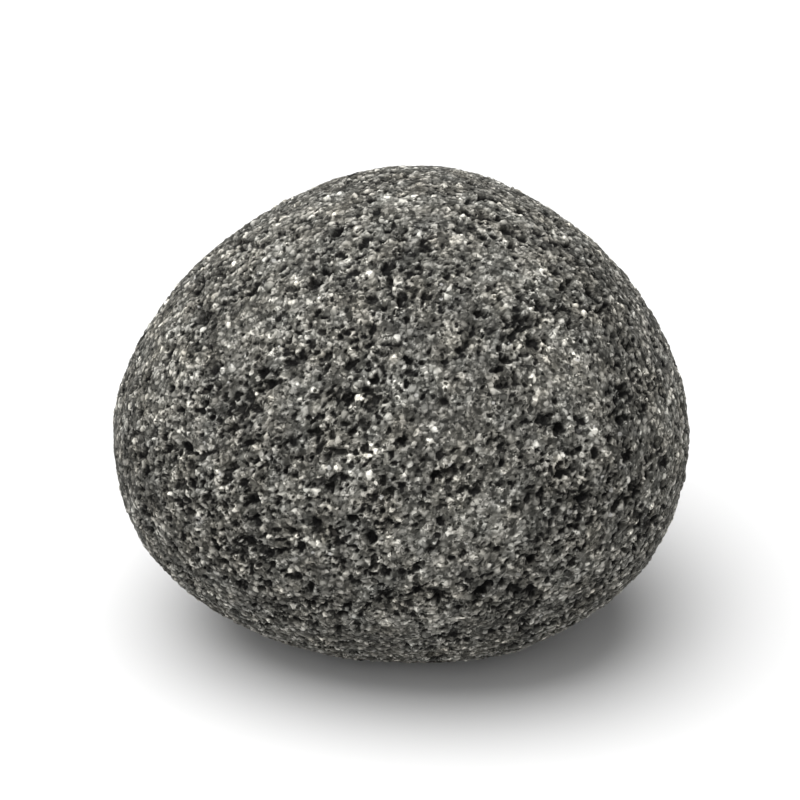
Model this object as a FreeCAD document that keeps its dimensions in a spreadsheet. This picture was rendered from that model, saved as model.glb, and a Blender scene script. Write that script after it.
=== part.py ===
"""Rounded porous basalt stone for hot-stone massage, one solid piece.

Units are millimetres.  +X runs along the length, +Z is up.  The origin lies in
the plane that the stone rests on, below the middle of its outline.
"""
import FreeCAD, Part
import math
import os
import random

from FreeCAD import Placement, Rotation, Vector

SIZES = [
    # alias, value, note
    ("length", 80.0, "overall size along X"),
    ("width", 75.0, "overall size along Y"),
    ("height", 66.0, "resting face to crown, along Z"),
    ("waist_height", 29.8, "height of the widest level above the resting face"),
    ("rest_cut", 1.8, "depth worn off the full round below, which leaves the resting face"),
    ("shoulder_taper", 0.085, "share by which the shoulders draw in towards the crown"),
    ("crown_lean_x", 1.5, "shift of the crown from the base along X"),
    ("crown_lean_y", 1.5, "shift of the crown from the base along Y"),
    ("twist", 9.5, "degrees that the outline turns from base to crown"),
    ("lobe", 0.056, "height of the outline's three soft lobes, as a share of its radius"),
    ("lobe_direction", 78.0, "direction of the first lobe, in degrees from X"),
    ("vesicle_count", 240, "number of larger gas pits in the skin"),
    ("vesicle_radius_min", 0.6, "radius of the smallest of them"),
    ("vesicle_radius_max", 1.3, "radius of the largest of them"),
    ("vesicle_lift", 0.3, "height of a pit's centre above the skin, as a share of its radius"),
]

OUTLINE_POLES = 12                  # control points round the stone
PROFILE_LATITUDES = (-90, -70, -50, -25, 0, 25, 50, 70, 90)
PATCH_LONGITUDES = range(0, 361, 45)
PATCH_LATITUDES = (-90, -62, -30, 0, 30, 62, 90)

GOLDEN_RATIO = (1.0 + math.sqrt(5.0)) / 2.0
PIT_LOWEST_SINE = -0.84             # sine of the lowest latitude with a pit, clear of the base
PIT_HIGHEST_SINE = 0.975            # sine of the highest, clear of the crown's pole
PIT_SCATTER = 4.5                   # degrees that a pit may stray either way
PIT_SEED = 12


def make_sheet(doc):
    """Put every driving size in a spreadsheet, with its name and note."""
    sheet = doc.addObject("Spreadsheet::Sheet", "Sizes")
    for row, (alias, value, note) in enumerate(SIZES, start=1):
        sheet.set("A%d" % row, alias)
        sheet.set("B%d" % row, str(value))
        sheet.set("C%d" % row, note)
        sheet.setAlias("B%d" % row, alias)
    doc.recompute()
    return sheet


def outline_poles(sheet):
    """Control points of a closed uniform cubic outline with a mean radius of 1."""
    step = 2.0 * math.pi / OUTLINE_POLES
    reach = 3.0 / (2.0 + math.cos(step))    # such a curve runs inside its poles
    poles = []
    for index in range(OUTLINE_POLES):
        angle = step * (index - 1)
        lobes = math.cos(3.0 * (angle - math.radians(sheet.lobe_direction)))
        radius = reach * (1.0 + sheet.lobe * lobes)
        poles.append((radius * math.cos(angle), radius * math.sin(angle)))
    return poles


def profile_curve(sheet):
    """Half profile, its radius of 0 to 1 along X and its height along Z.

    Its parameter is the latitude in degrees.  It leaves both poles level, so the
    skin is smooth there.
    """
    half_height = (sheet.height + sheet.rest_cut) / 2.0
    waist_drop = half_height - sheet.rest_cut - sheet.waist_height
    points = []
    for latitude in PROFILE_LATITUDES:
        sine = math.sin(math.radians(latitude))
        cosine = math.cos(math.radians(latitude))
        radius = cosine * (1.0 - sheet.shoulder_taper * max(sine, 0.0) ** 2)
        points.append(Vector(radius, 0, half_height * sine - waist_drop * cosine ** 2))
    base_spread = math.pi / 180.0           # radius gained per degree at the base
    crown_spread = base_spread * (1.0 - sheet.shoulder_taper)
    curve = Part.BSplineCurve()
    curve.interpolate(Points=points,
                      Parameters=[float(latitude) for latitude in PROFILE_LATITUDES],
                      InitialTangent=Vector(base_spread, 0, 0),
                      FinalTangent=Vector(-crown_spread, 0, 0),
                      Scale=False)
    return curve


def surface_from_net(net, profile):
    """Cubic surface through a control net, closed along u and open along v."""
    knots = [360.0 * index / OUTLINE_POLES for index in range(OUTLINE_POLES + 1)]
    surface = Part.BSplineSurface()
    surface.buildFromPolesMultsKnots(net, [1] * len(knots), profile.getMultiplicities(),
                                     knots, profile.getKnots(), True, False, 3, 3)
    return surface


def skin_surface(sheet):
    """Free-form skin of the whole round stone: u is longitude and v is latitude."""
    half_height = (sheet.height + sheet.rest_cut) / 2.0
    profile = profile_curve(sheet)
    net = []
    for ring_x, ring_y in outline_poles(sheet):
        column = []
        for pole in profile.getPoles():
            rise = pole.z / half_height     # -1 at the base, 1 at the crown
            turn = math.radians(sheet.twist) * rise / 2.0
            x = ring_x * math.cos(turn) - ring_y * math.sin(turn)
            y = ring_x * math.sin(turn) + ring_y * math.cos(turn)
            x = x * pole.x * sheet.length / 2.0 + sheet.crown_lean_x * rise / 2.0
            y = y * pole.x * sheet.width / 2.0 + sheet.crown_lean_y * rise / 2.0
            column.append(Vector(x, y, pole.z + half_height - sheet.rest_cut))
        net.append(column)

    # The lobes, the lean and the twist move the extremes a little, so the net is
    # stretched to the exact length and width and centred over the origin.
    extent = surface_from_net(net, profile).toShape().optimalBoundingBox(False)
    stretch_x = sheet.length / extent.XLength
    stretch_y = sheet.width / extent.YLength
    for column in net:
        for index, pole in enumerate(column):
            column[index] = Vector((pole.x - extent.Center.x) * stretch_x,
                                   (pole.y - extent.Center.y) * stretch_y,
                                   pole.z)
    return surface_from_net(net, profile)


def skin_solid(surface):
    """Solid below the skin, which is split into patches along u and v."""
    faces = []
    for west, east in zip(PATCH_LONGITUDES, PATCH_LONGITUDES[1:]):
        for south, north in zip(PATCH_LATITUDES, PATCH_LATITUDES[1:]):
            patch = surface.copy()
            patch.segment(west, east, south, north)
            faces.append(patch.toShape())
    shell = Part.Shell(faces)
    shell.sewShape()
    solid = Part.Solid(shell)
    if solid.Volume < 0:
        solid.reverse()
    return solid


def add_vesicles(doc, sheet, surface):
    """Spheres that stand half sunk in the skin, spaced by the golden angle.

    Each one's axis follows the skin's normal, and larger pits are rarer than small ones.
    """
    chance = random.Random(PIT_SEED)
    vesicles = []
    count = int(round(sheet.vesicle_count))
    core = Vector(0, 0, sheet.waist_height)
    for index in range(count):
        sine = PIT_LOWEST_SINE + (PIT_HIGHEST_SINE - PIT_LOWEST_SINE) * (index + 0.5) / count
        latitude = math.degrees(math.asin(sine))
        latitude += PIT_SCATTER * chance.uniform(-1, 1) * math.cos(math.radians(latitude))
        longitude = 360.0 * index / GOLDEN_RATIO ** 2 + PIT_SCATTER * chance.uniform(-1, 1)
        longitude = longitude % 360.0
        on_skin = surface.value(longitude, latitude)
        outward = surface.normal(longitude, latitude)
        if outward.dot(on_skin - core) < 0:
            outward = -outward

        share = chance.random() ** 2
        sphere = doc.addObject("Part::Sphere", "Vesicle%03d" % index)
        sphere.setExpression("Radius", "Sizes.vesicle_radius_min + %.4f"
                             " * (Sizes.vesicle_radius_max - Sizes.vesicle_radius_min)" % share)
        radius = (sheet.vesicle_radius_min
                  + share * (sheet.vesicle_radius_max - sheet.vesicle_radius_min))
        sphere.Placement = Placement(on_skin + outward * (sheet.vesicle_lift * radius),
                                     Rotation(Vector(0, 0, 1), outward))
        vesicles.append(sphere)
    group = doc.addObject("Part::MultiFuse", "Vesicles")
    group.Shapes = vesicles
    return group


def add_stone(doc, sheet):
    """The stone: full round skin, less the flat it rests on, less the gas pits."""
    surface = skin_surface(sheet)
    skin = doc.addObject("Part::Feature", "Skin")
    skin.Shape = skin_solid(surface)

    below = doc.addObject("Part::Box", "BelowRest")
    below.setExpression("Length", "2 * Sizes.length")
    below.setExpression("Width", "2 * Sizes.width")
    below.setExpression("Height", "2 * Sizes.rest_cut")
    below.setExpression("Placement.Base.x", "-Sizes.length")
    below.setExpression("Placement.Base.y", "-Sizes.width")
    below.setExpression("Placement.Base.z", "-2 * Sizes.rest_cut")

    blank = doc.addObject("Part::Cut", "Blank")
    blank.Base = skin
    blank.Tool = below

    stone = doc.addObject("Part::Cut", "Stone")
    stone.Label = "stone"
    stone.Base = blank
    stone.Tool = add_vesicles(doc, sheet, surface)
    stone.Placement = Placement()
    doc.recompute()
    if not blank.Shape.Volume < skin.Shape.Volume:
        raise RuntimeError("the resting face cut nothing")
    if not stone.Shape.Volume < blank.Shape.Volume:
        raise RuntimeError("the gas pits cut nothing")
    return stone


def check(doc, pieces):
    """Stop unless every object is up to date and every piece is one valid solid."""
    for item in doc.Objects:
        if "Invalid" in item.State or "Error" in item.State:
            raise RuntimeError("%s failed: %s" % (item.Name, item.State))
    for piece in pieces:
        shape = piece.Shape
        if shape.isNull() or not shape.isValid():
            raise RuntimeError("%s has no valid shape" % piece.Label)
        if len(shape.Solids) != 1:
            raise RuntimeError("%s is not one solid" % piece.Label)


def main():
    doc = FreeCAD.newDocument("basalt_massage_stone")
    sheet = make_sheet(doc)
    pieces = [add_stone(doc, sheet)]
    doc.recompute()
    check(doc, pieces)
    os.makedirs("parts", exist_ok=True)
    for piece in pieces:
        piece.Shape.exportStep(os.path.join("parts", piece.Label + ".step"))
        box = piece.Shape.optimalBoundingBox(False)
        print("%s: %.2f x %.2f x %.2f mm, %.1f cm3, %d faces"
              % (piece.Label, box.XLength, box.YLength, box.ZLength,
                 piece.Shape.Volume / 1000.0, len(piece.Shape.Faces)))


main()
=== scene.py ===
"""Look of the basalt massage stone: porous skin, rock material, light and camera."""
import math
import random

import bpy
import numpy as np
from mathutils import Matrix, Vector, noise
from mathutils.bvhtree import BVHTree
from mathutils.kdtree import KDTree


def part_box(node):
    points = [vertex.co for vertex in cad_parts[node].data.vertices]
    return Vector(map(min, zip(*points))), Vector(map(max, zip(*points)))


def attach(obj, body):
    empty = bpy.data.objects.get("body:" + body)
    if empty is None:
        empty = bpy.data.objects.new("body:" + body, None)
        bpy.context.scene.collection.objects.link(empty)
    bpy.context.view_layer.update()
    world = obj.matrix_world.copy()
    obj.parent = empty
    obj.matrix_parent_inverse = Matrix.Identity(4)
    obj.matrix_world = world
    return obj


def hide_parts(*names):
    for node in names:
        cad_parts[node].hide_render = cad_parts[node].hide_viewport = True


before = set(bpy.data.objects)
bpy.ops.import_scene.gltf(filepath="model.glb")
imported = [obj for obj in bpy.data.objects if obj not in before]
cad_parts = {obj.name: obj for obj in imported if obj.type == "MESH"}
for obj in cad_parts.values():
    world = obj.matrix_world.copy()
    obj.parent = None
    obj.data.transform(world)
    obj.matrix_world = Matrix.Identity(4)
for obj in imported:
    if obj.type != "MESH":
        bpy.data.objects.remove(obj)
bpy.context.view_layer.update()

MM = 0.001
STONE = "stone"

# ------------------------------------------------------ sizes of the skin

GRID = 260    # faces along each edge of the cube that wraps the stone
MAP_MARGIN = 0.003                  # gap round each of the six charts of the map
WELD_GRID = 1e6                     # directions that agree to this grid are one vertex
CORE_HEIGHT = 0.42                  # start of the wrapping rays, as a share of the height
SMOOTH_ROUNDS = 40                  # rounds that even out the pits before normals are taken

# The rock is more open in slanting bands along the lava's flow and in loose clusters.
FLOW = Vector((0.80, 0.10, 0.59)).normalized()
BAND_WIDTH = 5.0 * MM
BAND_LENGTH = 17.0 * MM
CLUSTER_SIZE = 9.0 * MM
BAND_SHARE = 0.6
CLUSTER_SHARE = 0.6

# The pores in sorts: how many, least and greatest radius in mm, how much the banding
# matters, and least gap as a share of both radii.
PORE_SORTS = (
    (90, 0.75, 1.05, 1.3, 1.1),
    (3100, 0.38, 0.76, 1.2, 0.95),
    (9000, 0.21, 0.40, 0.9, 0.85),
)
PORE_SEED = 5
PORE_TRIES = 12             # places tried for each pore that is wanted, at most
PORE_CHANCE = 0.5           # share of places taken where the banding is neutral
PORE_RARITY = 2.0           # the higher, the rarer the wide pores of a sort
PORE_CELL = 2.4 * MM        # cell of the grid that finds neighbours
PORE_TURN = 0.55            # spread of the long axes about the flow, in radians
PORE_LONG = (1.0, 1.6)      # long half axis, short half axis and depth, for each radius
PORE_SHORT = (0.7, 1.0)
PORE_DEEP = (0.7, 1.3)
PORE_REACH = 1.5            # vertices within this many long half axes may lie in the pore
PORE_CROOKED = 0.65         # how far the bending noise moves a rim, for each radius
PORE_WALL = 0.6             # the lower, the steeper the walls
PORE_SHADE_AND_DIRT = (0.80, 1.0)     # how strongly a pore's inside is painted dark, as painted shade and dirt
PORE_EDGE = 1.15            # squared distance, in half axes, where the painted shade and dirt ends
PORE_EDGE_FADE = 0.5
LEAST_GRAIN = 0.1           # below this the flow is taken to run into the skin

# The worn skin: waves as height in mm and size, then lumps of grain.
WAVES = (
    (0.28, 13.0 * MM),
    (0.15, 4.5 * MM),
    (0.10, 1.9 * MM),
    (0.05, 0.6 * MM),
)
GRAIN_SIZE = 1.05 * MM
GRAIN_BEND = 0.45           # how far the lumps' sides are bent, in lumps
LUMP_SIDE = 1.7             # the higher, the narrower the furrows between lumps
LUMP_HEIGHT = (0.10, 0.18)  # in mm: everywhere, and added where the rock is open
OPEN_ROCK = (0.55, 0.9)     # openness where the banding is neutral, and its swing
TONE_MIX = (12.9898, 78.233, 37.719)    # turns a lump's place into a random tone
TONE_SPREAD = 437.585

# Where the three parts of the bending noise are read, far apart so that they differ.
BEND_SIZE = 0.75 * MM
BEND_PLACES = (
    Vector((17.3, 5.1, 41.9)),
    Vector((-63.7, 29.3, 8.2)),
    Vector((34.6, -52.8, -21.4)),
)

SKIN_SINK = 0.12            # in mm, keeps the raised grain within the solid's size
CAD_PIT_START = 0.10        # in mm, depth at which the solid's own pits start to get painted shade and dirt
CAD_PIT_FADE = 0.25
FLOOR_FADE = 4.0 * MM       # the skin runs out to the solid over this height


# ------------------------------------------------------------------- skin

def cube_grid(count):
    """Directions and quads of a cube's six faces, swelled to even angles, with a map.

    Returns unit directions, quads, and each quad's four map corners.
    """
    steps = np.tan(np.linspace(-math.pi / 4, math.pi / 4, count + 1))
    across, up = np.meshgrid(steps, steps, indexing="ij")
    ones = np.ones_like(across)
    sides = [(ones, across, up), (-ones, -across, up), (-across, ones, up),
             (across, -ones, up), (across, up, ones), (-across, up, -ones)]
    points, quads, corners = [], [], []
    cell_u, cell_v = 1 / 3, 1 / 2
    index = np.arange((count + 1) ** 2).reshape(count + 1, count + 1)
    share = np.linspace(0, 1, count + 1)
    map_u, map_v = np.meshgrid(share, share, indexing="ij")
    for number, side in enumerate(sides):
        points.append(np.stack([s.ravel() for s in side], axis=1))
        quad = np.stack([index[:-1, :-1], index[1:, :-1],
                         index[1:, 1:], index[:-1, 1:]], -1)
        quad = quad.reshape(-1, 4)
        u = (number % 3) * cell_u + MAP_MARGIN + map_u.ravel() * (cell_u - 2 * MAP_MARGIN)
        v = (number // 3) * cell_v + MAP_MARGIN + map_v.ravel() * (cell_v - 2 * MAP_MARGIN)
        corners.append(np.stack([u[quad], v[quad]], axis=-1))
        quads.append(quad + number * index.size)
    points = np.concatenate(points)
    points /= np.linalg.norm(points, axis=1)[:, None]
    quads = np.concatenate(quads)
    corners = np.concatenate(corners)

    # the cube's edges and corners are welded, and every quad is turned outwards
    keys = np.round(points * WELD_GRID).astype(np.int64)
    _, first, welded = np.unique(keys, axis=0, return_index=True, return_inverse=True)
    points = points[first]
    quads = welded.reshape(-1)[quads]
    a, b, c = (points[quads[:, k]] for k in (0, 1, 2))
    inward = np.einsum("ij,ij->i", np.cross(b - a, c - a), a) < 0
    quads[inward] = quads[inward][:, ::-1]
    corners[inward] = corners[inward][:, ::-1]
    return points, quads, corners


def wrap(cad, count):
    """New object whose even grid lies on the CAD stone, by rays from its middle."""
    directions, quads, corners = cube_grid(count)
    tree = BVHTree.FromPolygons([v.co for v in cad.data.vertices],
                                [tuple(p.vertices) for p in cad.data.polygons])
    low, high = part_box(STONE)
    middle = Vector(((low[0] + high[0]) / 2, (low[1] + high[1]) / 2,
                     low[2] + CORE_HEIGHT * (high[2] - low[2])))
    points = np.empty_like(directions)
    for row, direction in enumerate(directions):
        hit = tree.ray_cast(middle, Vector(direction))[0]
        points[row] = hit if hit else middle

    mesh = bpy.data.meshes.new("stone_skin")
    mesh.vertices.add(len(points))
    mesh.vertices.foreach_set("co", points.astype(np.float32).ravel())
    mesh.loops.add(quads.size)
    mesh.loops.foreach_set("vertex_index", quads.astype(np.int32).ravel())
    mesh.polygons.add(len(quads))
    mesh.polygons.foreach_set("loop_start", np.arange(0, quads.size, 4, dtype=np.int32))
    mesh.update(calc_edges=True)
    chart = mesh.uv_layers.new(name="OFBake")
    chart.uv.foreach_set("vector", corners.astype(np.float32).ravel())
    skin = bpy.data.objects.new("stone_skin", mesh)
    bpy.context.scene.collection.objects.link(skin)
    return skin, quads


def co_of(mesh):
    """The mesh's vertex places, one row each."""
    co = np.empty(len(mesh.vertices) * 3, np.float32)
    mesh.vertices.foreach_get("co", co)
    return co.reshape(-1, 3).astype(float)


def smoothed(values, quads, rounds):
    """Values at the vertices, averaged with their neighbours over and over."""
    count = len(values)
    pairs = np.concatenate([quads[:, [k, (k + 1) % 4]] for k in range(4)])
    ends, starts = pairs[:, 0], pairs[:, 1]
    degree = np.bincount(ends, minlength=count)[:, None]
    for _ in range(rounds):
        total = np.stack([np.bincount(ends, weights=values[starts, k], minlength=count)
                          for k in range(values.shape[1])], axis=1)
        values = 0.5 * values + 0.5 * total / degree
    return values


def vertex_normals(points, quads):
    """Unit normal at each vertex, from the crossed diagonals of its quads."""
    a, b, c, d = (points[quads[:, k]] for k in range(4))
    faces = np.cross(c - a, d - b)
    normals = np.zeros_like(points)
    for k in range(4):
        for axis in range(3):
            normals[:, axis] += np.bincount(quads[:, k], weights=faces[:, axis],
                                            minlength=len(points))
    return normals / np.linalg.norm(normals, axis=1)[:, None]


def vertex_areas(points, quads):
    """Share of the skin that belongs to each vertex, from the quads' diagonals."""
    lengths = np.linalg.norm(points[quads[:, 0]] - points[quads[:, 2]], axis=1)
    others = np.linalg.norm(points[quads[:, 1]] - points[quads[:, 3]], axis=1)
    quarters = np.repeat(lengths * others / 8, 4)
    return np.bincount(quads.ravel(), weights=quarters, minlength=len(points))


def banding(point):
    """From -1 to 1: how open the rock is here, in slanting bands and loose clusters."""
    along = point.dot(FLOW)
    across = point - along * FLOW
    stretched = across / BAND_WIDTH + FLOW * (along / BAND_LENGTH)
    return (BAND_SHARE * noise.noise(stretched)
            + CLUSTER_SHARE * noise.noise(point / CLUSTER_SIZE))


def long_direction(normal, turn):
    """Direction in the skin that lies along the flow, turned by an angle."""
    grain = FLOW - FLOW.dot(normal) * normal
    if grain.length < LEAST_GRAIN:
        grain = normal.orthogonal()
    grain.normalize()
    return math.cos(turn) * grain + math.sin(turn) * normal.cross(grain)


def pores(points, normals, areas, crooked):
    """Depth of the pores at each vertex, and how much painted shade and dirt it gets inside a
    pore, 0 to 1.
    """
    chance = random.Random(PORE_SEED)
    tree = KDTree(len(points))
    for row, point in enumerate(points):
        tree.insert(point, row)
    tree.balance()
    depth = np.zeros(len(points))
    inside = np.zeros(len(points))
    weights = np.cumsum(areas / areas.sum())
    taken = {}
    steps = [(dx, dy, dz) for dx in (-1, 0, 1) for dy in (-1, 0, 1) for dz in (-1, 0, 1)]
    for count, small, large, bias, gap in PORE_SORTS:
        made = tries = 0
        while made < count and tries < PORE_TRIES * count:
            tries += 1
            row = min(int(np.searchsorted(weights, chance.random())), len(points) - 1)
            centre = Vector(points[row])
            if chance.random() > PORE_CHANCE + bias * banding(centre):
                continue
            radius = (small + (large - small) * chance.random() ** PORE_RARITY) * MM
            home = [int(math.floor(x / PORE_CELL)) for x in centre]
            close = (other for dx, dy, dz in steps
                     for other in taken.get((home[0] + dx, home[1] + dy, home[2] + dz), ()))
            if any((other - centre).length < 0.5 * gap * (radius + reach)
                   for other, reach in close):
                continue
            taken.setdefault(tuple(home), []).append((centre, radius))
            made += 1

            normal = Vector(normals[row])
            long_axis = long_direction(normal, chance.gauss(0.0, PORE_TURN))
            short_axis = normal.cross(long_axis)
            long_radius = radius * chance.uniform(*PORE_LONG)
            short_radius = radius * chance.uniform(*PORE_SHORT)
            deep = radius * chance.uniform(*PORE_DEEP)
            dark = chance.uniform(*PORE_SHADE_AND_DIRT)
            near = tree.find_range(centre, long_radius * PORE_REACH)
            if not near:
                continue
            rows = np.array([n[1] for n in near])
            offsets = points[rows] - np.array(centre) + PORE_CROOKED * radius * crooked[rows]
            x = offsets @ np.array(long_axis) / long_radius
            y = offsets @ np.array(short_axis) / short_radius
            reach = x * x + y * y
            shape = np.clip(1.0 - reach, 0, 1) ** PORE_WALL
            shade = np.clip((PORE_EDGE - reach) / PORE_EDGE_FADE, 0, 1)
            depth[rows] = np.maximum(depth[rows], deep * shape)
            # the darkness kept inside a pore is painted shade and dirt
            inside[rows] = np.maximum(inside[rows], dark * shade)
    return depth, inside


def relief(points):
    """Height of the worn skin in mm, its lumps, their tones and the bending noise."""
    height = np.empty(len(points))
    stands = np.empty(len(points))
    tone = np.empty(len(points))
    crooked = np.empty((len(points), 3))
    for row, point in enumerate(points):
        p = Vector(point)
        bend = Vector([noise.noise(p / BEND_SIZE + place) for place in BEND_PLACES])
        crooked[row] = bend
        near, spots = noise.voronoi(p / GRAIN_SIZE + GRAIN_BEND * bend)
        lump = min(1.0, LUMP_SIDE * (near[1] - near[0]))
        lump = lump * lump * (3.0 - 2.0 * lump)
        stands[row] = lump
        spot = spots[0]
        tone[row] = math.sin(TONE_MIX[0] * spot.x + TONE_MIX[1] * spot.y
                             + TONE_MIX[2] * spot.z) * TONE_SPREAD % 1.0
        open_rock = min(1.0, max(0.0, OPEN_ROCK[0] + OPEN_ROCK[1] * banding(p)))
        waves = 0.0
        for rise, size in WAVES:
            waves += rise * noise.noise(p / size)
        lump_height = LUMP_HEIGHT[0] + LUMP_HEIGHT[1] * open_rock
        height[row] = waves + lump_height * (lump - 0.5) * (0.5 + tone[row])
    return height, stands, tone, crooked


def carve(skin, quads):
    """Waves the skin a little, roughens it and sinks the pores into it."""
    mesh = skin.data
    on_cad = co_of(mesh)
    even = smoothed(on_cad, quads, SMOOTH_ROUNDS)
    normals = vertex_normals(even, quads)
    height, stands, tone, crooked = relief(on_cad)
    depth, inside = pores(on_cad, normals, vertex_areas(on_cad, quads), crooked)

    # pits that the CAD solid already has get the same painted shade and dirt inside
    cad_depth = np.einsum("ij,ij->i", even - on_cad, normals)
    cad_pit_shade_and_dirt = np.clip((cad_depth / MM - CAD_PIT_START) / CAD_PIT_FADE, 0, 1)
    inside = np.maximum(inside, cad_pit_shade_and_dirt)

    floor_fade = np.clip(on_cad[:, 2] / FLOOR_FADE, 0, 1)
    shift = (height - SKIN_SINK) * MM * floor_fade - depth
    carved = on_cad + normals * shift[:, None]
    carved[:, 2] = np.maximum(carved[:, 2], 0.0)
    mesh.vertices.foreach_set("co", carved.astype(np.float32).ravel())
    # the pores' painted shade and dirt, and the lump mask that paints shade into the furrows,
    # go to the material
    for name, values in (("pore_shade_and_dirt", inside), ("grain", stands), ("tone", tone)):
        layer = mesh.attributes.new(name, "FLOAT", "POINT")
        layer.data.foreach_set("value", values.astype(np.float32))
    mesh.polygons.foreach_set("use_smooth", np.ones(len(mesh.polygons), dtype=bool))
    mesh.update()


# --------------------------------------------------------------- material

class Graph:
    """Short hand for building one node tree."""

    def __init__(self, tree):
        self.tree = tree

    def node(self, kind, **settings):
        made = self.tree.nodes.new(kind)
        for name, value in settings.items():
            setattr(made, name, value)
        return made

    def put(self, socket, value):
        """Links a value that is an output, and sets one that is a number or colour."""
        if hasattr(value, "is_output"):
            self.tree.links.new(value, socket)
        else:
            socket.default_value = value

    def attribute(self, name):
        return self.node("ShaderNodeAttribute", attribute_name=name).outputs["Fac"]

    def math(self, operation, first, second):
        made = self.node("ShaderNodeMath", operation=operation)
        self.put(made.inputs[0], first)
        self.put(made.inputs[1], second)
        return made.outputs[0]

    def noise(self, place, scale, detail=2.0, rough=0.5):
        made = self.node("ShaderNodeTexNoise")
        self.put(made.inputs["Vector"], place)
        made.inputs["Scale"].default_value = scale
        made.inputs["Detail"].default_value = detail
        made.inputs["Roughness"].default_value = rough
        return made

    def cells(self, place, scale):
        made = self.node("ShaderNodeTexVoronoi")
        self.put(made.inputs["Vector"], place)
        made.inputs["Scale"].default_value = scale
        return made

    def randoms(self, cells):
        """Three random values for each cell."""
        made = self.node("ShaderNodeSeparateColor")
        self.put(made.inputs[0], cells.outputs["Color"])
        return made.outputs[0], made.outputs[1], made.outputs[2]

    def ramp(self, value, low, high, out_low=0.0, out_high=1.0, smooth=True):
        made = self.node("ShaderNodeMapRange")
        made.interpolation_type = "SMOOTHSTEP" if smooth else "LINEAR"
        self.put(made.inputs["Value"], value)
        for name, number in (("From Min", low), ("From Max", high),
                             ("To Min", out_low), ("To Max", out_high)):
            made.inputs[name].default_value = number
        return made.outputs["Result"]

    def mix(self, share, first, second, blend="MIX"):
        made = self.node("ShaderNodeMix", data_type="RGBA", blend_type=blend)
        self.put(made.inputs["Factor"], share)
        self.put(made.inputs[6], first)
        self.put(made.inputs[7], second)
        return made.outputs[2]

    def times(self, colour, factor):
        return self.mix(1.0, colour, factor, "MULTIPLY")

    def colours(self, value, stops):
        """Straight run of colours; every stop is a place and a colour."""
        made = self.node("ShaderNodeValToRGB")
        self.put(made.inputs["Fac"], value)
        ramp = made.color_ramp
        ramp.interpolation = "LINEAR"
        while len(ramp.elements) < len(stops):
            ramp.elements.new(0.5)
        for element, (place, colour) in zip(ramp.elements, stops):
            element.position = place
            element.color = (*colour, 1.0)
        return made.outputs["Color"]


# Scales of the patterns, in cells or waves for each metre.
COARSE_SCALE = 1350.0
FINE_SCALE = 2900.0
HOLE_SCALE = 1250.0
WOBBLE_SCALE = 2400.0
BROAD_SCALE = 95.0
MIDDLING_SCALE = 420.0
TINT_SCALE = 260.0
RAGGED_SCALE = 1700.0
GRIT_SCALE = 2600.0

WOBBLE = 0.00035            # share by which the wobble noise bends the patterns
COARSE_WINS = (0.35, 0.45)  # coarse grains win over fine ones where their value is higher

# Colours of the ground mass.
COARSE_COLOURS = (
    (0.00, (0.045, 0.045, 0.042)),
    (0.20, (0.080, 0.080, 0.075)),
    (0.50, (0.135, 0.134, 0.126)),
    (0.80, (0.235, 0.233, 0.220)),
    (0.93, (0.340, 0.337, 0.321)),
    (1.00, (0.400, 0.396, 0.378)),
)
FINE_COLOURS = (
    (0.00, (0.040, 0.040, 0.037)),
    (0.30, (0.095, 0.095, 0.089)),
    (0.70, (0.190, 0.188, 0.177)),
    (0.92, (0.310, 0.307, 0.291)),
    (1.00, (0.380, 0.376, 0.358)),
)

# What the ground mass is multiplied by.
TONE_FACTORS = (
    (0.00, (0.62, 0.62, 0.61)),
    (0.55, (0.98, 0.98, 0.97)),
    (0.84, (1.25, 1.25, 1.23)),
    (1.00, (1.75, 1.73, 1.69)),
)
# painted shade in the furrows between lumps, a little lighter on their crowns
FURROW_SHADE_FACTORS = (
    (0.00, (0.26, 0.26, 0.25)),
    (0.55, (0.96, 0.96, 0.96)),
    (1.00, (1.26, 1.26, 1.26)),
)
BROAD_RANGE = (0.3, 0.7)
BROAD_FACTORS = ((0.0, (0.79, 0.776, 0.774)), (1.0, (1.30, 1.277, 1.268)))
MIDDLING_RANGE = (0.32, 0.68)
MIDDLING_FACTORS = ((0.0, (0.74, 0.74, 0.74)), (1.0, (1.24, 1.24, 1.24)))
TINT_FACTORS = (
    (0.30, (0.985, 1.00, 0.99)),
    (0.50, (1.00, 0.995, 0.965)),
    (0.70, (1.025, 1.00, 0.94)),
)
# painted shade inside tiny holes
HOLE_SHADE_FACTOR = (0.16, 0.16, 0.15, 1.0)
# painted shade and dirt inside the pores
PORE_SHADE_AND_DIRT_FACTOR = (0.028, 0.027, 0.026, 1.0)

# Feldspar crystals, many small ones and few large pale blotches: cells for each metre,
# least random value that makes one, size and raggedness in cells, and colour.
CRYSTAL_SORTS = (
    (900.0, 0.88, 0.40, 0.30, (0.33, 0.324, 0.310, 1.0)),
    (270.0, 0.86, 0.30, 0.55, (0.30, 0.294, 0.281, 1.0)),
)
CRYSTAL_PALENESS = (0.30, 0.90)

HOLE_LEAST = 0.40           # least random value that makes a tiny hole
HOLE_SIZE = 0.44            # greatest radius of one, in cells
SOFT_SIDE = 0.10            # width over which a crystal's or a hole's side fades, in cells
PORE_SHADE_START = 0.15

ROUGHNESS = (0.92, 0.62)    # of the darkest and the palest coarse grains
SPECULAR = 0.10
BUMP_STRENGTH = 1.0
BUMP_DISTANCE = 0.00018
FINE_RISE = 0.30            # share of each pattern in the fine relief
COARSE_RISE = 0.35
GRIT_RISE = 0.9
HOLE_FALL = 1.2


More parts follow.
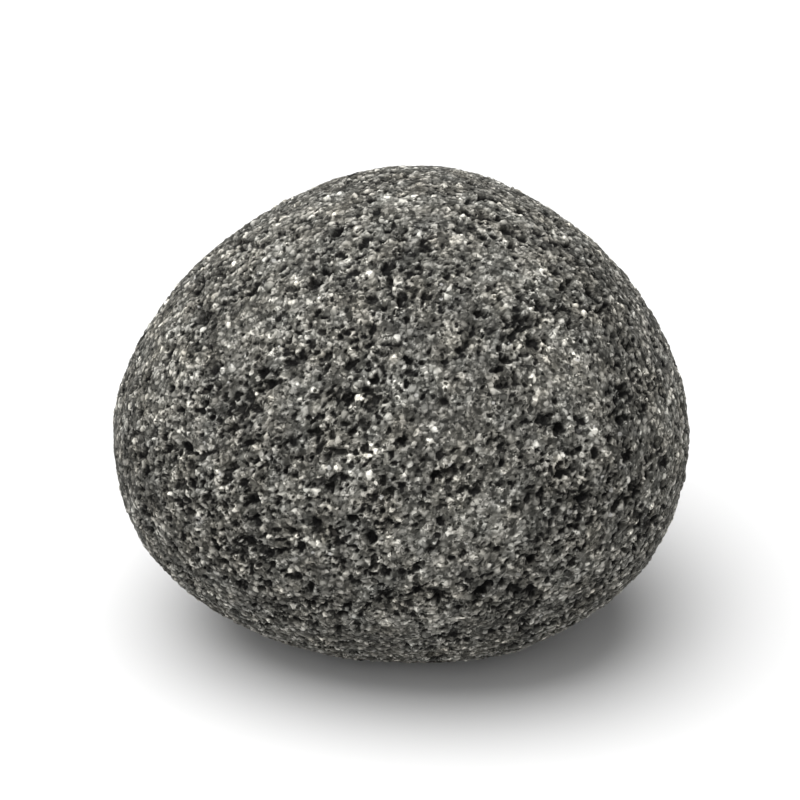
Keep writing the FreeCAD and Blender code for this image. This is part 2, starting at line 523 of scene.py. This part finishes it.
def basalt():
    """Grey porous rock with pale feldspar grains, and dark pores whose darkness is partly
    painted shade.
    """
    material = bpy.data.materials.new("basalt")
    material.use_nodes = True
    tree = material.node_tree
    g = Graph(tree)
    shader = tree.nodes["Principled BSDF"]
    place = g.node("ShaderNodeTexCoord").outputs["Object"]

    # crookedness, so that no grain has a straight side
    mixer = g.node("ShaderNodeMix", data_type="VECTOR")
    mixer.inputs["Factor"].default_value = WOBBLE
    g.put(mixer.inputs[4], place)
    g.put(mixer.inputs[5], g.noise(place, WOBBLE_SCALE, 1.0).outputs["Color"])
    bent = mixer.outputs[1]

    # ground mass: two mosaics of mineral grains, one of which wins at each spot
    coarse_1, coarse_2, _ = g.randoms(g.cells(bent, COARSE_SCALE))
    fine_1, fine_2, _ = g.randoms(g.cells(bent, FINE_SCALE))
    colour = g.mix(g.ramp(coarse_2, *COARSE_WINS),
                   g.colours(fine_1, FINE_COLOURS), g.colours(coarse_1, COARSE_COLOURS))

    # lumps: each has its own tone, and the furrows between them get painted shade
    colour = g.times(colour, g.colours(g.attribute("tone"), TONE_FACTORS))
    colour = g.times(colour, g.colours(g.attribute("grain"), FURROW_SHADE_FACTORS))

    # broad and middling patches of lighter and darker rock, and faint tints
    broad = g.noise(place, BROAD_SCALE, 3.0).outputs["Fac"]
    colour = g.times(colour, g.colours(g.ramp(broad, *BROAD_RANGE), BROAD_FACTORS))
    middling = g.noise(place, MIDDLING_SCALE, 3.0, 0.6).outputs["Fac"]
    colour = g.times(colour, g.colours(g.ramp(middling, *MIDDLING_RANGE), MIDDLING_FACTORS))
    tint = g.noise(place, TINT_SCALE, 2.0).outputs["Fac"]
    colour = g.times(colour, g.colours(tint, TINT_FACTORS))

    # feldspar crystals with ragged sides
    ragged = g.noise(place, RAGGED_SCALE, 3.0, 0.65).outputs["Fac"]
    for scale, least, size, sides, pale in CRYSTAL_SORTS:
        crystal = g.cells(bent, scale)
        wanted, paleness, _ = g.randoms(crystal)
        reach = g.ramp(wanted, least, 1.0, -sides, size, smooth=False)
        span = g.math("ADD", crystal.outputs["Distance"], g.math("MULTIPLY", ragged, sides))
        inner = g.math("SUBTRACT", g.math("ADD", reach, 0.5 * sides), span)
        white = g.math("MULTIPLY", g.ramp(inner, 0.0, SOFT_SIDE),
                       g.ramp(paleness, 0.0, 1.0, *CRYSTAL_PALENESS))
        colour = g.mix(white, colour, pale)

    # painted shade in tiny holes that are too small for the mesh
    hole = g.cells(bent, HOLE_SCALE)
    size = g.ramp(g.randoms(hole)[2], HOLE_LEAST, 1.0, 0.0, HOLE_SIZE, smooth=False)
    hole_in = g.ramp(g.math("SUBTRACT", size, hole.outputs["Distance"]), 0.0, SOFT_SIDE)
    colour = g.mix(hole_in, colour, g.times(colour, HOLE_SHADE_FACTOR))

    # painted shade and dirt inside the pores
    shade = g.ramp(g.attribute("pore_shade_and_dirt"), PORE_SHADE_START, 1.0)
    colour = g.mix(shade, colour, g.times(colour, PORE_SHADE_AND_DIRT_FACTOR))
    g.put(shader.inputs["Base Color"], colour)

    # pale grains are a little smoother than dark ones
    g.put(shader.inputs["Roughness"], g.ramp(coarse_1, 0.0, 1.0, *ROUGHNESS, smooth=False))
    shader.inputs["Specular IOR Level"].default_value = SPECULAR

    # fine relief
    height = g.math("ADD", g.math("MULTIPLY", fine_2, FINE_RISE),
                    g.math("MULTIPLY", coarse_2, COARSE_RISE))
    grit = g.noise(place, GRIT_SCALE, 3.0, 0.6).outputs["Fac"]
    height = g.math("ADD", height, g.math("MULTIPLY", grit, GRIT_RISE))
    height = g.math("SUBTRACT", height, g.math("MULTIPLY", hole_in, HOLE_FALL))
    bump = g.node("ShaderNodeBump")
    bump.inputs["Strength"].default_value = BUMP_STRENGTH
    bump.inputs["Distance"].default_value = BUMP_DISTANCE
    g.put(bump.inputs["Height"], height)
    g.put(shader.inputs["Normal"], bump.outputs["Normal"])
    return material


# ------------------------------------------------------------------ stage

FLOOR_HALF = 4.0
FLOOR_DROP = 0.02 * MM      # keeps the floor just clear of the resting face
FLOOR_COLOURS = ((0.3, (0.46, 0.46, 0.46)), (0.7, (0.48, 0.48, 0.48)))

# Soft lamps: name, direction towards the lamp, spread in degrees, strength.
LAMPS = (
    ("key", (-0.20, -0.08, 1.00), 65.0, 5.9),
    ("fill", (-0.30, -1.00, 0.80), 50.0, 1.6),
)
# The studio's walls are brightest at the floor: height as a share, and brightness.
STUDIO = ((0.00, 1.80), (0.15, 1.25), (0.50, 0.45))
STUDIO_STRENGTH = 0.70

ELEVATION = 25.0            # of the camera, in degrees
DISTANCE = 0.42             # from the camera to the middle of the stone
FRAME_WIDTH = 0.112         # seen by the camera at that distance
SENSOR_WIDTH = 36.0


def floor_material():
    material = bpy.data.materials.new("floor")
    material.use_nodes = True
    shader = material.node_tree.nodes["Principled BSDF"]
    g = Graph(material.node_tree)
    place = g.node("ShaderNodeTexCoord").outputs["Object"]
    soft = g.noise(place, 6.0).outputs["Fac"]
    g.put(shader.inputs["Base Color"], g.colours(soft, FLOOR_COLOURS))
    shader.inputs["Roughness"].default_value = 0.85
    shader.inputs["Specular IOR Level"].default_value = 0.2
    return material


def add_floor():
    mesh = bpy.data.meshes.new("floor")
    half = FLOOR_HALF
    mesh.from_pydata([(-half, -half, 0), (half, -half, 0), (half, half, 0), (-half, half, 0)],
                     [], [(0, 1, 2, 3)])
    floor = bpy.data.objects.new("floor", mesh)
    floor.location.z = -FLOOR_DROP
    floor.data.materials.append(floor_material())
    bpy.context.scene.collection.objects.link(floor)


def add_lamp(name, towards, spread, strength):
    """A wide soft light that comes evenly from one side of the sky."""
    data = bpy.data.lights.new(name, "SUN")
    data.angle = math.radians(spread)
    data.energy = strength
    lamp = bpy.data.objects.new(name, data)
    lamp.location = towards
    lamp.rotation_mode = "QUATERNION"
    lamp.rotation_quaternion = (-Vector(towards)).to_track_quat("-Z", "Y")
    bpy.context.scene.collection.objects.link(lamp)


def add_studio():
    """Bright even walls all round, darker overhead."""
    world = bpy.data.worlds.new("studio")
    bpy.context.scene.world = world
    world.use_nodes = True
    g = Graph(world.node_tree)
    back = world.node_tree.nodes["Background"]
    parts = g.node("ShaderNodeSeparateXYZ")
    g.put(parts.inputs[0], g.node("ShaderNodeTexCoord").outputs["Generated"])
    stops = [(height, (bright, bright, bright)) for height, bright in STUDIO]
    g.put(back.inputs["Color"], g.colours(parts.outputs["Z"], stops))
    back.inputs["Strength"].default_value = STUDIO_STRENGTH


def add_camera(centre):
    data = bpy.data.cameras.new("camera")
    data.sensor_width = SENSOR_WIDTH
    data.lens = SENSOR_WIDTH * DISTANCE / FRAME_WIDTH
    data.clip_start = 0.01
    data.clip_end = 50.0
    camera = bpy.data.objects.new("camera", data)
    rise = math.radians(ELEVATION)
    back = Vector((0.0, -math.cos(rise), math.sin(rise)))
    camera.location = centre + DISTANCE * back
    camera.rotation_mode = "QUATERNION"
    camera.rotation_quaternion = (-back).to_track_quat("-Z", "Y")
    bpy.context.scene.collection.objects.link(camera)
    bpy.context.scene.camera = camera


def main():
    skin, quads = wrap(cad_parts[STONE], GRID)
    carve(skin, quads)
    skin.data.materials.append(basalt())
    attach(skin, "root")
    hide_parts(STONE)

    low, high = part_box(STONE)
    centre = Vector(((low[0] + high[0]) / 2, (low[1] + high[1]) / 2, (low[2] + high[2]) / 2))
    add_floor()
    for lamp in LAMPS:
        add_lamp(*lamp)
    add_studio()
    add_camera(centre)
    bpy.context.scene.view_settings.view_transform = "Standard"


main()
